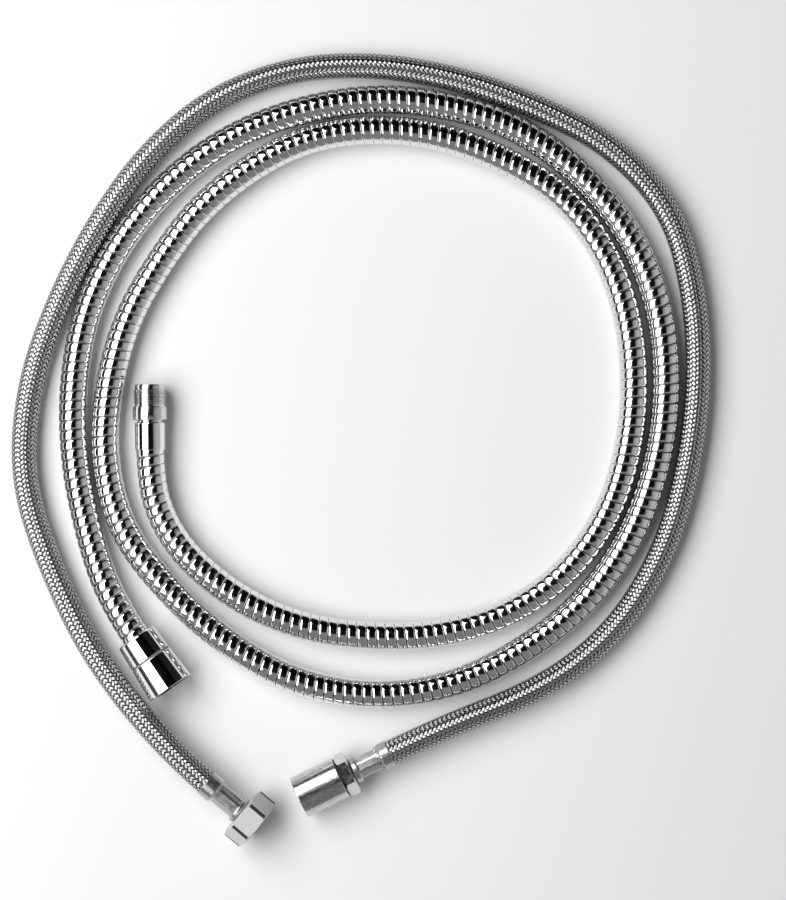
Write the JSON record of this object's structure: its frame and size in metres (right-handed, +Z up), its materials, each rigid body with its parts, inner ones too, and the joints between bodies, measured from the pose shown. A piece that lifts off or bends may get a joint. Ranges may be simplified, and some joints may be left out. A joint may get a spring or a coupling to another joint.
{
  "type": "bath-rim shower hose set",
  "caption": "Chrome spiral shower hose with a male thread and a swivelling cone nut, lying in turns inside a braided steel supply hose with a swivelling hex nut and a connector.",
  "frame": {"origin": "on the surface that the set lies on, under the middle of its outline", "axes": "+Z up, +Y away from the viewer along the longest extent, +X to the right"},
  "size_m": [0.3443, 0.3897, 0.024],
  "materials": {
    "chromed_strip": "polished",
    "polished_chrome": "polished",
    "nickel_brass": "satin",
    "brushed_nickel": "satin",
    "bare_brass": "satin",
    "drawn_steel": "satin",
    "steel_braid": "satin",
    "water_tube": "matte",
    "black_rubber": "matte",
    "grey_plastic": "matte"
  },
  "bodies": {
    "braided_hose": {"braid_sheath": "steel_braid", "braided_hose_liner": "water_tube", "hex_end_tail": "nickel_brass", "hex_end_ferrule": "drawn_steel", "connector_tail": "nickel_brass", "connector_ferrule": "drawn_steel", "connector_gasket": "black_rubber", "connector_body": "brushed_nickel", "connector_seal": "black_rubber"},
    "hex_swivel": {"hex_nut": "nickel_brass", "hex_nut_washer": "black_rubber"},
    "spiral_hose": {"spiral_sheath": "chromed_strip", "spiral_hose_liner": "water_tube", "thread_tail": "nickel_brass", "thread_end_sleeve": "polished_chrome", "thread_end_crimp_ring": "bare_brass", "cone_tail": "nickel_brass", "cone_crimp_ring": "bare_brass", "cone_sleeve": "polished_chrome", "cone_slip_ring": "grey_plastic"},
    "cone_swivel": {"cone_nut": "polished_chrome", "cone_nut_washer": "black_rubber"}
  },
  "joints": [
    {"name": "hex_nut_turn", "type": "hinge", "parent": "braided_hose", "child": "hex_swivel", "pos_m": [-0.05782, -0.17857, 0.012], "axis": [0.766, -0.6428, 0], "continuous": true},
    {"name": "spiral_hose_lift", "type": "slide", "parent": "braided_hose", "child": "spiral_hose", "axis": [0, 0, 1], "range_m": [0, 0.06]},
    {"name": "cone_nut_turn", "type": "hinge", "parent": "spiral_hose", "child": "cone_swivel", "pos_m": [-0.10225, -0.10418, 0.01103], "axis": [0.5683, -0.8207, 0.0593], "continuous": true}
  ]
}
